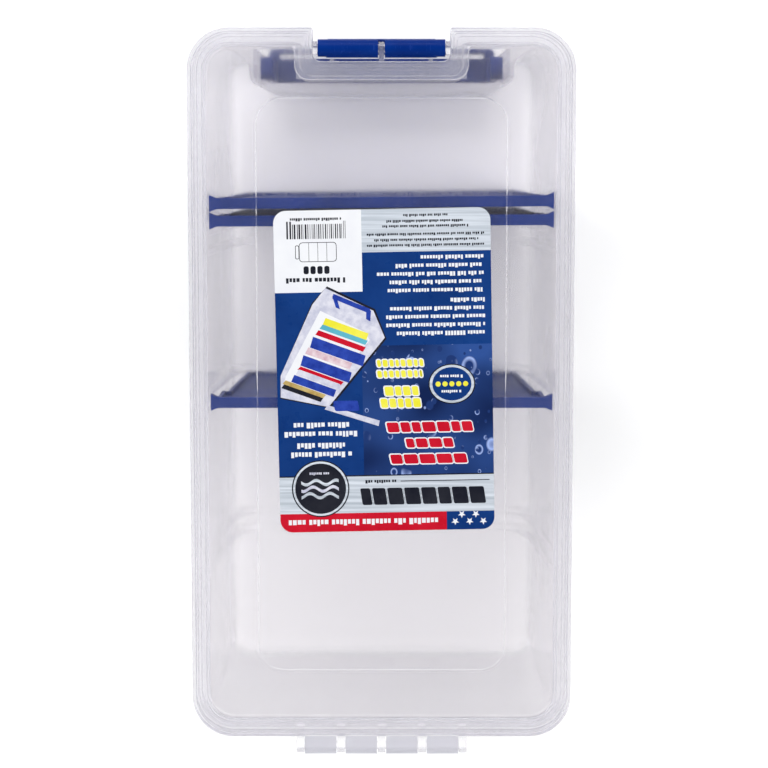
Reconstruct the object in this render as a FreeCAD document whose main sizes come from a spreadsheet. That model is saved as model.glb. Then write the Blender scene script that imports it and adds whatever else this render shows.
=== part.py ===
import FreeCAD, Part
import math
import os
import re
import Sketcher

# Clear hinged-lid tackle box with a blue latch, bail handle and three removable dividers.
# Millimetres. Origin: centre of the resting face. +Z up, -Y latch and handle end, +Y hinge end.

SIZES = {
    # overall
    "length": 342.0,             # lid, front edge to rear edge
    "width": 184.0,              # lid, side to side
    "height": 133.0,             # resting face to lid top
    "corner": 20.0,              # lid corner radius in plan
    # lid
    "band": 8.3,                 # raised rim band, from the edge to the step
    "lid_skin": 1.6,             # skirt, band and step wall
    "lid_plate": 1.8,            # field and label panel
    "lid_skirt": 9.0,            # skirt depth from the lid top
    "field_drop": 2.5,           # field below the band
    "lid_rise": 6.7,             # lid top above the tub rim
    "seat_gap": 0.3,             # step wall above the tub rim
    "panel_drop": 0.8,           # label panel below the field
    "panel_width": 119.0,
    "panel_length": 276.0,
    "panel_corner": 12.0,
    "bead_inset": 5.2,           # small groove on top of the band
    "bead_width": 0.9,
    "bead_drop": 0.5,
    # notch in the lid and tub rim, where the latch sits
    "notch_width": 65.0,
    "notch_depth": 15.7,
    "notch_mouth": 2.0,          # corner radii of the notch, in the tub rim
    "notch_root": 4.0,
    # tub
    "tub_wall": 1.8,
    "tub_floor": 2.2,
    "wall_slope": 0.032,         # inward lean of the walls, per millimetre down
    "base_round": 7.0,           # inner radius along the floor
    "rim_gap": 0.5,              # rim edge to lid skirt
    "hinge_relief": 0.6,         # extra gap at the rear, for the swing of the skirt
    "rim_plate": 2.0,
    "rim_lip": 1.6,
    "rim_depth": 9.3,
    # handle bay in the front wall
    "bay_width": 124.6,          # at its ceiling
    "bay_depth": 25.0,           # lid edge to the bay's rear wall, at its ceiling
    "bay_top": 102.0,            # ceiling height
    "bay_corner": 4.0,
    "ceiling": 2.0,
    "catch_reach": 10.0,         # lid edge to the catch edge under the latch
    # divider channels
    "slot_middle": 8.0,          # middle channel, from the box centre
    "slot_pitch": 77.5,
    "slot_gap": 5.8,             # between the two ribs of a channel
    "rib_width": 3.6,
    "rib_rise": 1.5,             # above the floor
    # dividers
    "divider_gap": 0.5,          # under the divider, and beside its tabs
    "divider_tall": 120.0,
    "divider_frame": 5.2,        # edge flange, front to rear
    "divider_edge": 1.8,         # edge flange thickness
    "divider_web": 1.5,
    "divider_side": 4.5,         # rim cavity wall to the divider's ear
    "divider_ear": 27.0,         # height of the wide top part
    "divider_step": 3.1,         # ear to body, each side
    "tab_width": 8.0,
    "tab_tall": 5.0,
    "loose_middle": -80.0,       # spare divider standing loose
    "loose_pitch": 8.7,
    "loose_turn": 0.25,          # degrees
    # latch
    "latch_axis_in": 9.4,        # lid edge to the bar's axis
    "latch_axis_down": 4.7,      # lid top to the bar's axis
    "latch_bar": 2.0,            # radius
    "latch_barrel": 4.1,         # radius
    "latch_plate": 2.2,
    "latch_tall": 33.6,
    "latch_corner": 4.0,
    "latch_post": 2.5,           # middle post width
    "latch_end_post": 2.0,
    "fit": 0.08,                 # radial running clearance
    "side_gap": 0.35,            # between moving pieces, along an axis
    # handle
    "handle_z": 66.0,
    "handle_in": 16.8,           # lid edge to the pivot axis
    "handle_stud": 3.0,          # radius
    "handle_stud_long": 5.0,
    "handle_leg": 4.3,
    "handle_leg_wide": 11.6,
    "grip_low": 10.0,            # grip bottom above the resting face
    "grip_tall": 17.0,
    "grip_deep": 12.4,
    "grip_slot": 2.6,
    "grip_lip": 2.6,
    # hinge
    "hinge_out": 5.8,            # lid rear edge to the pin axis
    "hinge_down": 6.0,           # lid top to the pin axis
    "hinge_pin": 2.0,            # radius
    "hinge_eye": 3.6,            # post radius
    "hinge_knuckle": 4.2,        # knuckle radius
    "hinge_pitch": 19.9,
    "hinge_post": 3.8,
    # label
    "label_width": 103.6,
    "label_length": 155.4,
    "label_corner": 6.0,
    "label_thick": 0.15,
    "label_shift": 8.0,          # towards the latch
    "label_turn": 1.1,           # degrees
}

doc = FreeCAD.newDocument("tackle_box")
sheet = doc.addObject("Spreadsheet::Sheet", "size")
for row, (alias, number) in enumerate(SIZES.items(), 1):
    sheet.set(f"A{row}", alias)
    sheet.set(f"B{row}", str(number))
    sheet.setAlias(f"B{row}", alias)
doc.recompute()


# ---- helpers ----------------------------------------------------------------------------------

def bind(formula):
    """A formula in size names, as an expression on the sheet."""
    return re.sub(r"[a-z_]+", lambda word: "size." + word.group() if word.group() in SIZES
                  else word.group(), formula)


def number(formula):
    """The present value of a formula."""
    return float(sheet.evalExpression(bind(formula)))


def new_body(label):
    body = doc.addObject("PartDesign::Body", label)
    body.Label = label
    return body


def origin_feature(body, role):
    return next(item for item in body.Origin.OriginFeatures if item.Role == role)


def new_sketch(body, name, plane, offset):
    """A sketch on an origin plane, moved along its normal by a formula."""
    sketch = body.newObject("Sketcher::SketchObject", name)
    sketch.AttachmentSupport = [(origin_feature(body, plane), "")]
    sketch.MapMode = "FlatFace"
    sketch.setExpression("AttachmentOffset.Base.z", bind(offset))
    return sketch


def place_point(sketch, geometry, position, x, y):
    """Hold one point of a sketch at (x, y), both formulas."""
    for kind, formula in (("DistanceX", x), ("DistanceY", y)):
        held = sketch.addConstraint(
            Sketcher.Constraint(kind, -1, 1, geometry, position, number(formula)))
        sketch.setExpression(f"Constraints[{held}]", bind(formula))


def outline(sketch, corners):
    """Closed outline through corners (x, y, radius), counter-clockwise; a "0" radius is sharp."""
    points = [FreeCAD.Vector(number(x), number(y), 0) for x, y, _ in corners]
    radii = [number(r) for _, _, r in corners]
    count = len(corners)
    ahead = [(points[(i + 1) % count] - points[i]).normalize() for i in range(count)]
    turns = []
    for i in range(count):
        turns.append(math.atan2(ahead[i - 1].cross(ahead[i]).z, ahead[i - 1].dot(ahead[i])))
    cuts = [radii[i] * math.tan(abs(turns[i]) / 2) for i in range(count)]
    marks = []
    for i, (x, y, _) in enumerate(corners):
        marks.append(sketch.addGeometry(Part.Point(points[i]), True))
        place_point(sketch, marks[i], 1, x, y)
    lines = []
    for i in range(count):
        j = (i + 1) % count
        start = points[i] + ahead[i] * cuts[i]
        end = points[j] - ahead[i] * cuts[j]
        lines.append(sketch.addGeometry(Part.LineSegment(start, end), False))
        for mark in (marks[i], marks[j]):
            sketch.addConstraint(Sketcher.Constraint("PointOnObject", mark, 1, lines[i]))
    for i in range(count):
        before, after = lines[i - 1], lines[i]
        if radii[i] == 0:
            sketch.addConstraint(Sketcher.Constraint("Coincident", before, 2, after, 1))
            continue
        left = 1 if turns[i] > 0 else -1
        side = FreeCAD.Vector(-ahead[i - 1].y, ahead[i - 1].x, 0) * left
        touch = points[i] - ahead[i - 1] * cuts[i]
        centre = touch + side * radii[i]
        leave = points[i] + ahead[i] * cuts[i]
        first, last = (touch, leave) if left > 0 else (leave, touch)
        begin = math.atan2(first.y - centre.y, first.x - centre.x)
        finish = math.atan2(last.y - centre.y, last.x - centre.x)
        while finish < begin:
            finish += 2 * math.pi
        arc = sketch.addGeometry(Part.ArcOfCircle(
            Part.Circle(centre, FreeCAD.Vector(0, 0, 1), radii[i]), begin, finish), False)
        enter, leave_at = (1, 2) if left > 0 else (2, 1)
        sketch.addConstraint(Sketcher.Constraint("Tangent", before, 2, arc, enter))
        sketch.addConstraint(Sketcher.Constraint("Tangent", arc, leave_at, after, 1))
        held = sketch.addConstraint(Sketcher.Constraint("Radius", arc, radii[i]))
        sketch.setExpression(f"Constraints[{held}]", bind(corners[i][2]))


def circle(sketch, x, y, radius):
    centre = FreeCAD.Vector(number(x), number(y), 0)
    ring = sketch.addGeometry(Part.Circle(centre, FreeCAD.Vector(0, 0, 1), number(radius)), False)
    place_point(sketch, ring, 3, x, y)
    held = sketch.addConstraint(Sketcher.Constraint("Radius", ring, number(radius)))
    sketch.setExpression(f"Constraints[{held}]", bind(radius))


def extrude(body, kind, name, sketch, length, middle=False, back=False):
    """Pad or Pocket. A Pocket has to take material away, a Pad has to add it."""
    doc.recompute()
    before = body.Shape.Volume if body.Tip else 0.0
    feature = body.newObject("PartDesign::" + kind, name)
    feature.Profile = sketch
    feature.setExpression("Length", bind(length))
    feature.SideType = "Symmetric" if middle else "One side"
    feature.Reversed = back
    doc.recompute()
    change = feature.Shape.Volume - before
    if (change > 0) != (kind == "Pad"):
        raise ValueError(f"{name} changes the volume the wrong way: {change}")
    return feature


def pad(body, name, sketch, length, **options):
    return extrude(body, "Pad", name, sketch, length, **options)


def pocket(body, name, sketch, length, **options):
    return extrude(body, "Pocket", name, sketch, length, **options)


def loft(body, kind, name, sections):
    """Ruled loft through sections, listed from the top down."""
    doc.recompute()
    feature = body.newObject("PartDesign::" + kind, name)
    feature.Profile = sections[0]
    feature.Sections = sections[1:]
    feature.Ruled = True
    doc.recompute()
    return feature


def fillet(body, name, radius, choose):
    """Round the tip's edges that choose(edge) accepts."""
    doc.recompute()
    base = body.Tip
    names = [f"Edge{n}" for n, edge in enumerate(base.Shape.Edges, 1) if choose(edge)]
    feature = body.newObject("PartDesign::Fillet", name)
    feature.Base = (base, names)
    feature.setExpression("Radius", bind(radius))
    doc.recompute()
    return feature


def repeat(body, name, features, role, pitch, count):
    """Equal steps of some features along an origin axis."""
    pattern = body.newObject("PartDesign::LinearPattern", name)
    pattern.Originals = features
    pattern.Direction = (origin_feature(body, role), [""])
    pattern.Mode = "Spacing"
    pattern.setExpression("Offset", bind(pitch))
    pattern.Occurrences = count
    body.Tip = pattern
    doc.recompute()
    return pattern


def level_edges(height):
    """Accepts edges that lie at one height."""
    def choose(edge):
        box = edge.BoundBox
        return abs(box.ZMin - height) < 0.01 and abs(box.ZMax - height) < 0.01
    return choose


# ---- shared formulas --------------------------------------------------------------------------

SIDE = "width / 2"
FRONT = "length / 2"                       # distance from the centre to the front or rear edge
RIM = "(height - lid_rise)"                # tub rim height
WALL_TOP = "(band - tub_wall)"             # inset of the tub's outer face at the rim
SHELF = "(bay_top + ceiling)"              # shelf over the handle bay
BAY_HALF = "bay_width / 2"
LATCH_Y = "(latch_axis_in - length / 2)"
LATCH_Z = "(height - latch_axis_down)"
HINGE_Y = "(length / 2 + hinge_out)"
HINGE_Z = "(height - hinge_down)"
HANDLE_Y = "(handle_in - length / 2)"


def bay_half_at(height):
    """Half width of the handle bay at a height."""
    return f"({BAY_HALF} - wall_slope * ({SHELF} - {height}))"


def box_corners(inset, radius, rear="0"):
    """Rounded rectangle inside the lid's outline; rear is a further inset at the rear."""
    x, y = f"({SIDE} - ({inset}))", f"({FRONT} - ({inset}))"
    return [(f"-{x}", f"-{y}", radius), (x, f"-{y}", radius),
            (x, f"{y} - ({rear})", radius), (f"-{x}", f"{y} - ({rear})", radius)]


def notched_corners(inset, radius, mouth, root, rear="0"):
    """The same outline with the latch notch in its front edge, offset by the inset."""
    corners = box_corners(inset, radius, rear)
    half = f"(notch_width / 2 + ({inset}))"
    front = corners[0][1]
    deep = f"{front} + notch_depth"
    notch = [(f"-{half}", front, mouth), (f"-{half}", deep, root),
             (half, deep, root), (half, front, mouth)]
    return corners[:1] + notch + corners[1:]


def bay_corners(inset, radius, half, depth, mouth, root):
    """The same outline with the handle bay in its front edge."""
    corners = box_corners(inset, radius)
    front = corners[0][1]
    deep = f"({depth} - {FRONT})"
    bay = [(f"-({half})", front, mouth), (f"-({half})", deep, root),
           (f"({half})", deep, root), (f"({half})", front, mouth)]
    return corners[:1] + bay + corners[1:]


def ring_profile(body, name, height, outer, inner):
    sketch = new_sketch(body, name, "XY_Plane", height)
    outline(sketch, outer)
    outline(sketch, inner)
    return sketch


def level_profile(body, name, height, corners):
    sketch = new_sketch(body, name, "XY_Plane", height)
    outline(sketch, corners)
    return sketch


# ---- tub --------------------------------------------------------------------------------------

def build_tub():
    tub = new_body("tub")
    lean = f"(wall_slope * {RIM})"
    # solid block with leaning sides
    base = level_profile(tub, "tub_base", "0",
                         box_corners(f"{WALL_TOP} + {lean}", f"corner - {WALL_TOP} - {lean}"))
    top = level_profile(tub, "tub_top", RIM, box_corners(WALL_TOP, f"corner - {WALL_TOP}"))
    loft(tub, "AdditiveLoft", "tub_block", [top, base])
    build_cavity(tub)
    fillet(tub, "tub_floor_round", "base_round", level_edges(number("tub_floor")))
    fillet(tub, "tub_base_round", "base_round + tub_wall", level_edges(0))
    build_rim(tub)
    build_bay(tub)
    build_channels(tub)
    build_studs(tub)
    build_hinge_posts(tub)
    return tub


def build_cavity(tub):
    """The lower part goes round the handle bay, the upper part round the latch notch."""
    upper_lean = f"(wall_slope * ({RIM} - {SHELF}))"
    floor_lean = f"(wall_slope * ({RIM} - tub_floor))"
    bay_lean = f"(wall_slope * ({SHELF} - tub_floor))"
    lower = []
    for name, height, inset, slope in (("shelf", SHELF, upper_lean, "0"),
                                       ("floor", "tub_floor", floor_lean, bay_lean)):
        lower.append(level_profile(tub, "tub_cavity_" + name, height, bay_corners(
            f"band + {inset}", f"corner - band - {inset}",
            f"{BAY_HALF} + tub_wall - {slope}", f"bay_depth + tub_wall + {slope}",
            f"base_round + 0.5 + {bay_lean} - {slope}", f"bay_corner + tub_wall + {slope}")))
    loft(tub, "SubtractiveLoft", "tub_cavity_low", lower)
    upper = []
    for name, height, inset in (("mouth", RIM, "0"), ("ledge", SHELF, upper_lean)):
        upper.append(level_profile(tub, "tub_cavity_" + name, height, notched_corners(
            f"band + {inset}", f"corner - band - {inset}",
            f"notch_mouth + 1 - {inset}", f"notch_root + 2.5 + {inset}")))
    loft(tub, "SubtractiveLoft", "tub_cavity_high", upper)


def build_rim(tub):
    """Rim flange with its down-turned lip. It follows the notch, which is open over the shelf."""
    half = f"(notch_width / 2 + {WALL_TOP})"
    deep = f"(notch_depth + {WALL_TOP} - {FRONT})"
    notch = level_profile(tub, "tub_notch", RIM, [
        (f"-{half}", f"-{FRONT}", "0"), (half, f"-{FRONT}", "0"),
        (half, deep, "notch_root + 1.5"), (f"-{half}", deep, "notch_root + 1.5")])
    pocket(tub, "tub_notch_cut", notch, f"{RIM} - {SHELF}")
    edge = "(lid_skin + rim_gap)"
    flange = ring_profile(tub, "tub_flange", RIM,
                          notched_corners(edge, f"corner - {edge}", "notch_mouth", "notch_root + 0.5",
                                          "hinge_relief"),
                          notched_corners("band", "corner - band", "notch_mouth + 1",
                                          "notch_root + 2.5"))
    pad(tub, "tub_flange_pad", flange, "rim_depth", back=True)
    lip = f"({edge} + rim_lip)"
    groove = ring_profile(tub, "tub_groove", f"{RIM} - rim_depth",
                          notched_corners(lip, f"corner - {lip}", "notch_mouth", "notch_root + 1",
                                          "hinge_relief"),
                          notched_corners(WALL_TOP, f"corner - {WALL_TOP}", "notch_mouth",
                                          "notch_root + 1.5"))
    pocket(tub, "tub_groove_cut", groove, "rim_depth - rim_plate", back=True)


def build_bay(tub):
    """Handle bay, open to the front and below, and the catch edge of its ceiling."""
    bay = []
    for name, height, lean in (("head", "bay_top", "0"), ("foot", "-1", f"wall_slope * {SHELF}")):
        half, deep = f"({BAY_HALF} - {lean})", f"(bay_depth - {FRONT} + {lean})"
        bay.append(level_profile(tub, "tub_bay_" + name, height, [
            (f"-{half}", f"-{FRONT} - 1", "0"), (half, f"-{FRONT} - 1", "0"),
            (half, deep, "bay_corner"), (f"-{half}", deep, "bay_corner")]))
    loft(tub, "SubtractiveLoft", "tub_bay", bay)
    half, edge = "(notch_width / 2 + 3)", f"(catch_reach - {FRONT})"
    catch = level_profile(tub, "tub_catch", f"{SHELF} + 0.5", [
        (f"-{half}", f"-{FRONT}", "0"), (half, f"-{FRONT}", "0"), (half, edge, "2"),
        (f"-{half}", edge, "2")])
    pocket(tub, "tub_catch_cut", catch, "ceiling + 1")


def build_channels(tub):
    """Pairs of ribs across the floor and up the walls; the dividers stand between them."""
    def wall(height, reach):
        """Half width of the cavity at a height, less the rib's reach."""
        return f"({SIDE} - band - wall_slope * ({RIM} - {height}) - {reach})"
    low = "(tub_floor / 2)"
    inner = [("0.90 * height", "0.4", "0"), ("0.63 * height", "1.3", "60"),
             ("0.25 * height", "3.0", "60")]
    right = [(wall("0.90 * height", "-0.9"), "0.90 * height", "0")]
    right += [(wall(level, reach), level, radius) for level, reach, radius in inner]
    right += [(f"({wall('tub_floor', '0')} - base_round - 1)", "tub_floor + rib_rise", "14")]
    left = [(f"-{x}", y, radius) for x, y, radius in reversed(right)]
    corner = f"({wall('tub_floor / 2', '0')} + 0.9)"
    profile = [(f"-{corner}", low, "base_round + 0.9"), (corner, low, "base_round + 0.9")]
    ribs = []
    for name, side in (("front", "-1"), ("rear", "1")):
        centre = f"slot_middle - slot_pitch + {side} * (slot_gap + rib_width) / 2"
        sketch = new_sketch(tub, "rib_" + name, "XZ_Plane", f"-({centre})")
        outline(sketch, profile + right + left)
        ribs.append(pad(tub, "rib_pad_" + name, sketch, "rib_width", middle=True))
    repeat(tub, "channels", ribs, "Y_Axis", "slot_pitch", 3)


def build_studs(tub):
    """Two short studs in the bay's side walls, for the handle."""
    for name, side, back in (("left", "-", False), ("right", "", True)):
        at = f"{side}({bay_half_at('handle_z')} + tub_wall / 2)"
        sketch = new_sketch(tub, "stud_" + name, "YZ_Plane", at)
        circle(sketch, HANDLE_Y, "handle_z", "handle_stud")
        pad(tub, "stud_pad_" + name, sketch, "handle_stud_long + tub_wall / 2", back=back)


def build_hinge_posts(tub):
    """Five posts on the rear rim, joined by the moulded pin."""
    root = f"({FRONT} - lid_skin - rim_gap - hinge_relief - rim_lip / 2)"
    under = "(height - lid_skirt - 0.6)"
    post = new_sketch(tub, "hinge_post_side", "YZ_Plane", "2 * -hinge_pitch")
    outline(post, [(root, f"{under} - 4.5", "0"), (f"{HINGE_Y} + hinge_eye", f"{under} - 4.5", "3"),
                   (f"{HINGE_Y} + hinge_eye", f"{HINGE_Z} + hinge_eye", "hinge_eye - 0.1"),
                   (f"{HINGE_Y} - hinge_eye", f"{HINGE_Z} + hinge_eye", "hinge_eye - 0.1"),
                   (f"{HINGE_Y} - hinge_eye", under, "1"), (root, under, "0")])
    first = pad(tub, "hinge_post_pad", post, "hinge_post", middle=True)
    repeat(tub, "hinge_posts", [first], "X_Axis", "hinge_pitch", 5)
    pin = new_sketch(tub, "hinge_pin_end", "YZ_Plane", "0")
    circle(pin, HINGE_Y, HINGE_Z, "hinge_pin")
    pad(tub, "hinge_pin_bar", pin, "4 * hinge_pitch + hinge_post", middle=True)


# ---- lid --------------------------------------------------------------------------------------

def build_lid():
    lid = new_body("lid")
    block = level_profile(lid, "lid_outline", "height", notched_corners("0", "corner", "1.2", "4"))
    pad(lid, "lid_block", block, "lid_skirt", back=True)
    under = level_profile(lid, "lid_under", "height - lid_skirt",
                          notched_corners("lid_skin", "corner - lid_skin", "0.8", "4.6"))
    pocket(lid, "lid_under_cut", under, "lid_skirt - lid_skin", back=True)
    # step wall that stands on the tub rim, and the field inside it
    step = level_profile(lid, "lid_step", f"{RIM} + seat_gap",
                         notched_corners("band - lid_skin", "corner - band + lid_skin", "2", "6"))
    pad(lid, "lid_step_pad", step, "lid_rise - seat_gap - lid_skin / 2")
    inside = notched_corners("band", "corner - band", "3", "6.5")
    above = level_profile(lid, "lid_field_top", "height", inside)
    pocket(lid, "lid_field_cut", above, "field_drop")
    below = level_profile(lid, "lid_field_under", f"{RIM} + seat_gap", inside)
    pocket(lid, "lid_field_under_cut", below, "lid_rise - seat_gap - field_drop - lid_plate", back=True)
    build_label_panel(lid)
    groove = ring_profile(lid, "lid_groove", "height",
                          notched_corners("bead_inset", "corner - bead_inset", "1.5", "5.5"),
                          notched_corners("bead_inset + bead_width",
                                          "corner - bead_inset - bead_width", "1.7", "5.8"))
    pocket(lid, "lid_groove_cut", groove, "bead_drop")
    top = number("height")
    field = number("height - field_drop")
    fillet(lid, "lid_edge_round", "0.6", lambda edge: (
        level_edges(top)(edge) and outer_edge(edge)) or level_edges(field)(edge))
    build_latch_bar(lid)
    build_knuckles(lid)
    return lid


def outer_edge(edge):
    """Accepts edges on the lid's outermost outline, by the distance of their middle."""
    middle = edge.valueAt((edge.FirstParameter + edge.LastParameter) / 2)
    side, front = number(SIDE), number(FRONT)
    at_side = abs(abs(middle.x) - side) < 0.01
    at_end = abs(abs(middle.y) - front) < 0.01
    return at_side or at_end


def build_label_panel(lid):
    """Shallow sunk panel for the label, as thick as the field round it."""
    def panel(name, height, grow):
        x, y = f"(panel_width / 2 + {grow})", f"(panel_length / 2 + {grow})"
        radius = f"panel_corner + {grow}"
        return level_profile(lid, name, height, [(f"-{x}", f"-{y}", radius), (x, f"-{y}", radius),
                                                 (x, y, radius), (f"-{x}", y, radius)])
    boss = panel("panel_boss", "height - field_drop - lid_plate / 2", "lid_plate")
    pad(lid, "panel_boss_pad", boss, "lid_plate / 2 + panel_drop", back=True)
    sunk = panel("panel_sunk", "height - field_drop", "0")
    pocket(lid, "panel_cut", sunk, "panel_drop")


def build_latch_bar(lid):
    """Bar across the notch, its end posts and middle post, and two small pegs behind it."""
    bar = new_sketch(lid, "latch_bar_end", "YZ_Plane", "0")
    circle(bar, LATCH_Y, LATCH_Z, "latch_bar")
    pad(lid, "latch_bar_pad", bar, "notch_width + lid_skin", middle=True)
    wall = f"(notch_depth - {FRONT} + lid_skin / 2)"
    middle = new_sketch(lid, "latch_post_side", "YZ_Plane", "0")
    outline(middle, [(f"{LATCH_Y} - 2.8", f"{LATCH_Z} - 2.8", "2.6"), (wall, f"{LATCH_Z} - 3.6", "0"),
                     (wall, f"{LATCH_Z} + 3.6", "0"), (f"{LATCH_Y} - 2.8", f"{LATCH_Z} + 2.8", "2.6")])
    pad(lid, "latch_post_pad", middle, "latch_post", middle=True)
    for name, side, back in (("left", "-", False), ("right", "", True)):
        peg = new_sketch(lid, "latch_peg_" + name, "YZ_Plane", f"{side}(notch_width * 0.36)")
        outline(peg, [(f"{wall} - lid_skin / 2 - 1", f"{LATCH_Z} - 3", "0.4"), (wall, f"{LATCH_Z} - 3", "0"),
                      (wall, f"{LATCH_Z} + 2.4", "0"), (f"{wall} - lid_skin / 2 - 1", f"{LATCH_Z} + 2.4", "0.8")])
        pad(lid, "latch_peg_pad_" + name, peg, "1.8", middle=True)
        end = new_sketch(lid, "latch_end_" + name, "YZ_Plane", f"{side}(notch_width / 2 + lid_skin / 2)")
        circle(end, LATCH_Y, LATCH_Z, "latch_bar + 1.2")
        pad(lid, "latch_end_pad_" + name, end, "latch_end_post + lid_skin / 2", back=back)


def build_knuckles(lid):
    """Four C-shaped knuckles that snap over the hinge pin, between the tub's posts."""
    arm = f"({FRONT} - lid_skin / 2)"
    side = new_sketch(lid, "knuckle_side", "YZ_Plane", "-1.5 * hinge_pitch")
    outline(side, [(arm, f"{HINGE_Z} + 1.6", "0"), (f"{HINGE_Y} - 3.4", f"{HINGE_Z} + 1.6", "0"),
                   (f"{HINGE_Y} - hinge_knuckle", f"{HINGE_Z} - 1.2", "0"),
                   (f"{HINGE_Y} - hinge_knuckle + 0.8", f"{HINGE_Z} - hinge_knuckle", "1"),
                   (f"{HINGE_Y} + hinge_knuckle", f"{HINGE_Z} - hinge_knuckle", "hinge_knuckle - 0.1"),
                   (f"{HINGE_Y} + hinge_knuckle", f"{HINGE_Z} + hinge_knuckle", "hinge_knuckle - 0.1"),
                   (arm, f"{HINGE_Z} + hinge_knuckle", "0")])
    long = f"hinge_pitch - hinge_post - 2 * side_gap"
    first = pad(lid, "knuckle_pad", side, long, middle=True)
    bore = new_sketch(lid, "knuckle_bore_end", "YZ_Plane", "-1.5 * hinge_pitch")
    circle(bore, HINGE_Y, HINGE_Z, "hinge_pin + fit")
    hole = pocket(lid, "knuckle_bore", bore, long, middle=True)
    mouth = new_sketch(lid, "knuckle_mouth_side", "YZ_Plane", "-1.5 * hinge_pitch")
    outline(mouth, [(f"{HINGE_Y} - 1.5", f"{HINGE_Z} - hinge_knuckle - 1", "0"),
                    (f"{HINGE_Y} + 1.5", f"{HINGE_Z} - hinge_knuckle - 1", "0"),
                    (f"{HINGE_Y} + 1.5", HINGE_Z, "0"), (f"{HINGE_Y} - 1.5", HINGE_Z, "0")])
    opening = pocket(lid, "knuckle_mouth", mouth, long, middle=True)
    repeat(lid, "knuckles", [first, hole, opening], "X_Axis", "hinge_pitch", 4)


# ---- latch ------------------------------------------------------------------------------------

def build_latch():
    latch = new_body("latch")
    long = "(notch_width - 2 * latch_end_post - 2 * side_gap)"
    front = f"({LATCH_Y} - latch_barrel)"
    low = "(height - latch_tall)"
    # plate with rounded lower corners
    plate = new_sketch(latch, "latch_plate_front", "XZ_Plane", f"-{front}")
    outline(plate, [(f"-{long} / 2", low, "latch_corner"), (f"{long} / 2", low, "latch_corner"),
                    (f"{long} / 2", LATCH_Z, "0"), (f"-{long} / 2", LATCH_Z, "0")])
    pad(latch, "latch_plate_pad", plate, "latch_plate", back=True)
    # pull edge along its foot, and a nib that reaches in under the tub's catch
    foot = new_sketch(latch, "latch_foot_side", "YZ_Plane", "0")
    outline(foot, [(f"{front} + 0.5", f"{low} + 5", "0"), (f"{front} - 1.6", f"{low} + 0.6", "0.6"),
                   (f"{front} - 1.2", low, "0.3"), (f"{front} + latch_plate + 1.2", low, "0.8"),
                   (f"{front} + latch_plate + 1.2", f"{low} + 2.2", "0.6"),
                   (f"{front} + latch_plate - 0.5", f"{low} + 4.5", "0")])
    pad(latch, "latch_foot_pad", foot, f"{long} - 2 * latch_corner", middle=True)
    barrel = new_sketch(latch, "latch_barrel_end", "YZ_Plane", "0")
    circle(barrel, LATCH_Y, LATCH_Z, "latch_barrel")
    pad(latch, "latch_barrel_pad", barrel, long, middle=True)
    jaw = new_sketch(latch, "latch_jaw_side", "YZ_Plane", "0")
    outline(jaw, [(f"{LATCH_Y} - 3", f"{LATCH_Z} - 1.6", "0"), (f"{LATCH_Y} + 4.5", f"{LATCH_Z} - 1.6", "0.6"),
                  (f"{LATCH_Y} + 4.5", f"{LATCH_Z} + 0.6", "0.6"), (f"{LATCH_Y} - 3", f"{LATCH_Z} + 0.6", "0")])
    pad(latch, "latch_jaw_pad", jaw, f"{long} - 2 * latch_corner", middle=True)
    bore = new_sketch(latch, "latch_bore_end", "YZ_Plane", "0")
    circle(bore, LATCH_Y, LATCH_Z, "latch_bar + fit")
    pocket(latch, "latch_bore", bore, long, middle=True)
    # slit for the middle post, and rounded lower corners
    slit = new_sketch(latch, "latch_slit_front", "XZ_Plane", "length / 2 + 5")
    half = "(latch_post / 2 + side_gap)"
    outline(slit, [(f"-{half}", f"{LATCH_Z} - 9", "1.5"), (half, f"{LATCH_Z} - 9", "1.5"),
                   (half, "height + 5", "0"), (f"-{half}", "height + 5", "0")])
    pocket(latch, "latch_slit", slit, "notch_depth + 10")
    return latch


# ---- handle -----------------------------------------------------------------------------------

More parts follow.
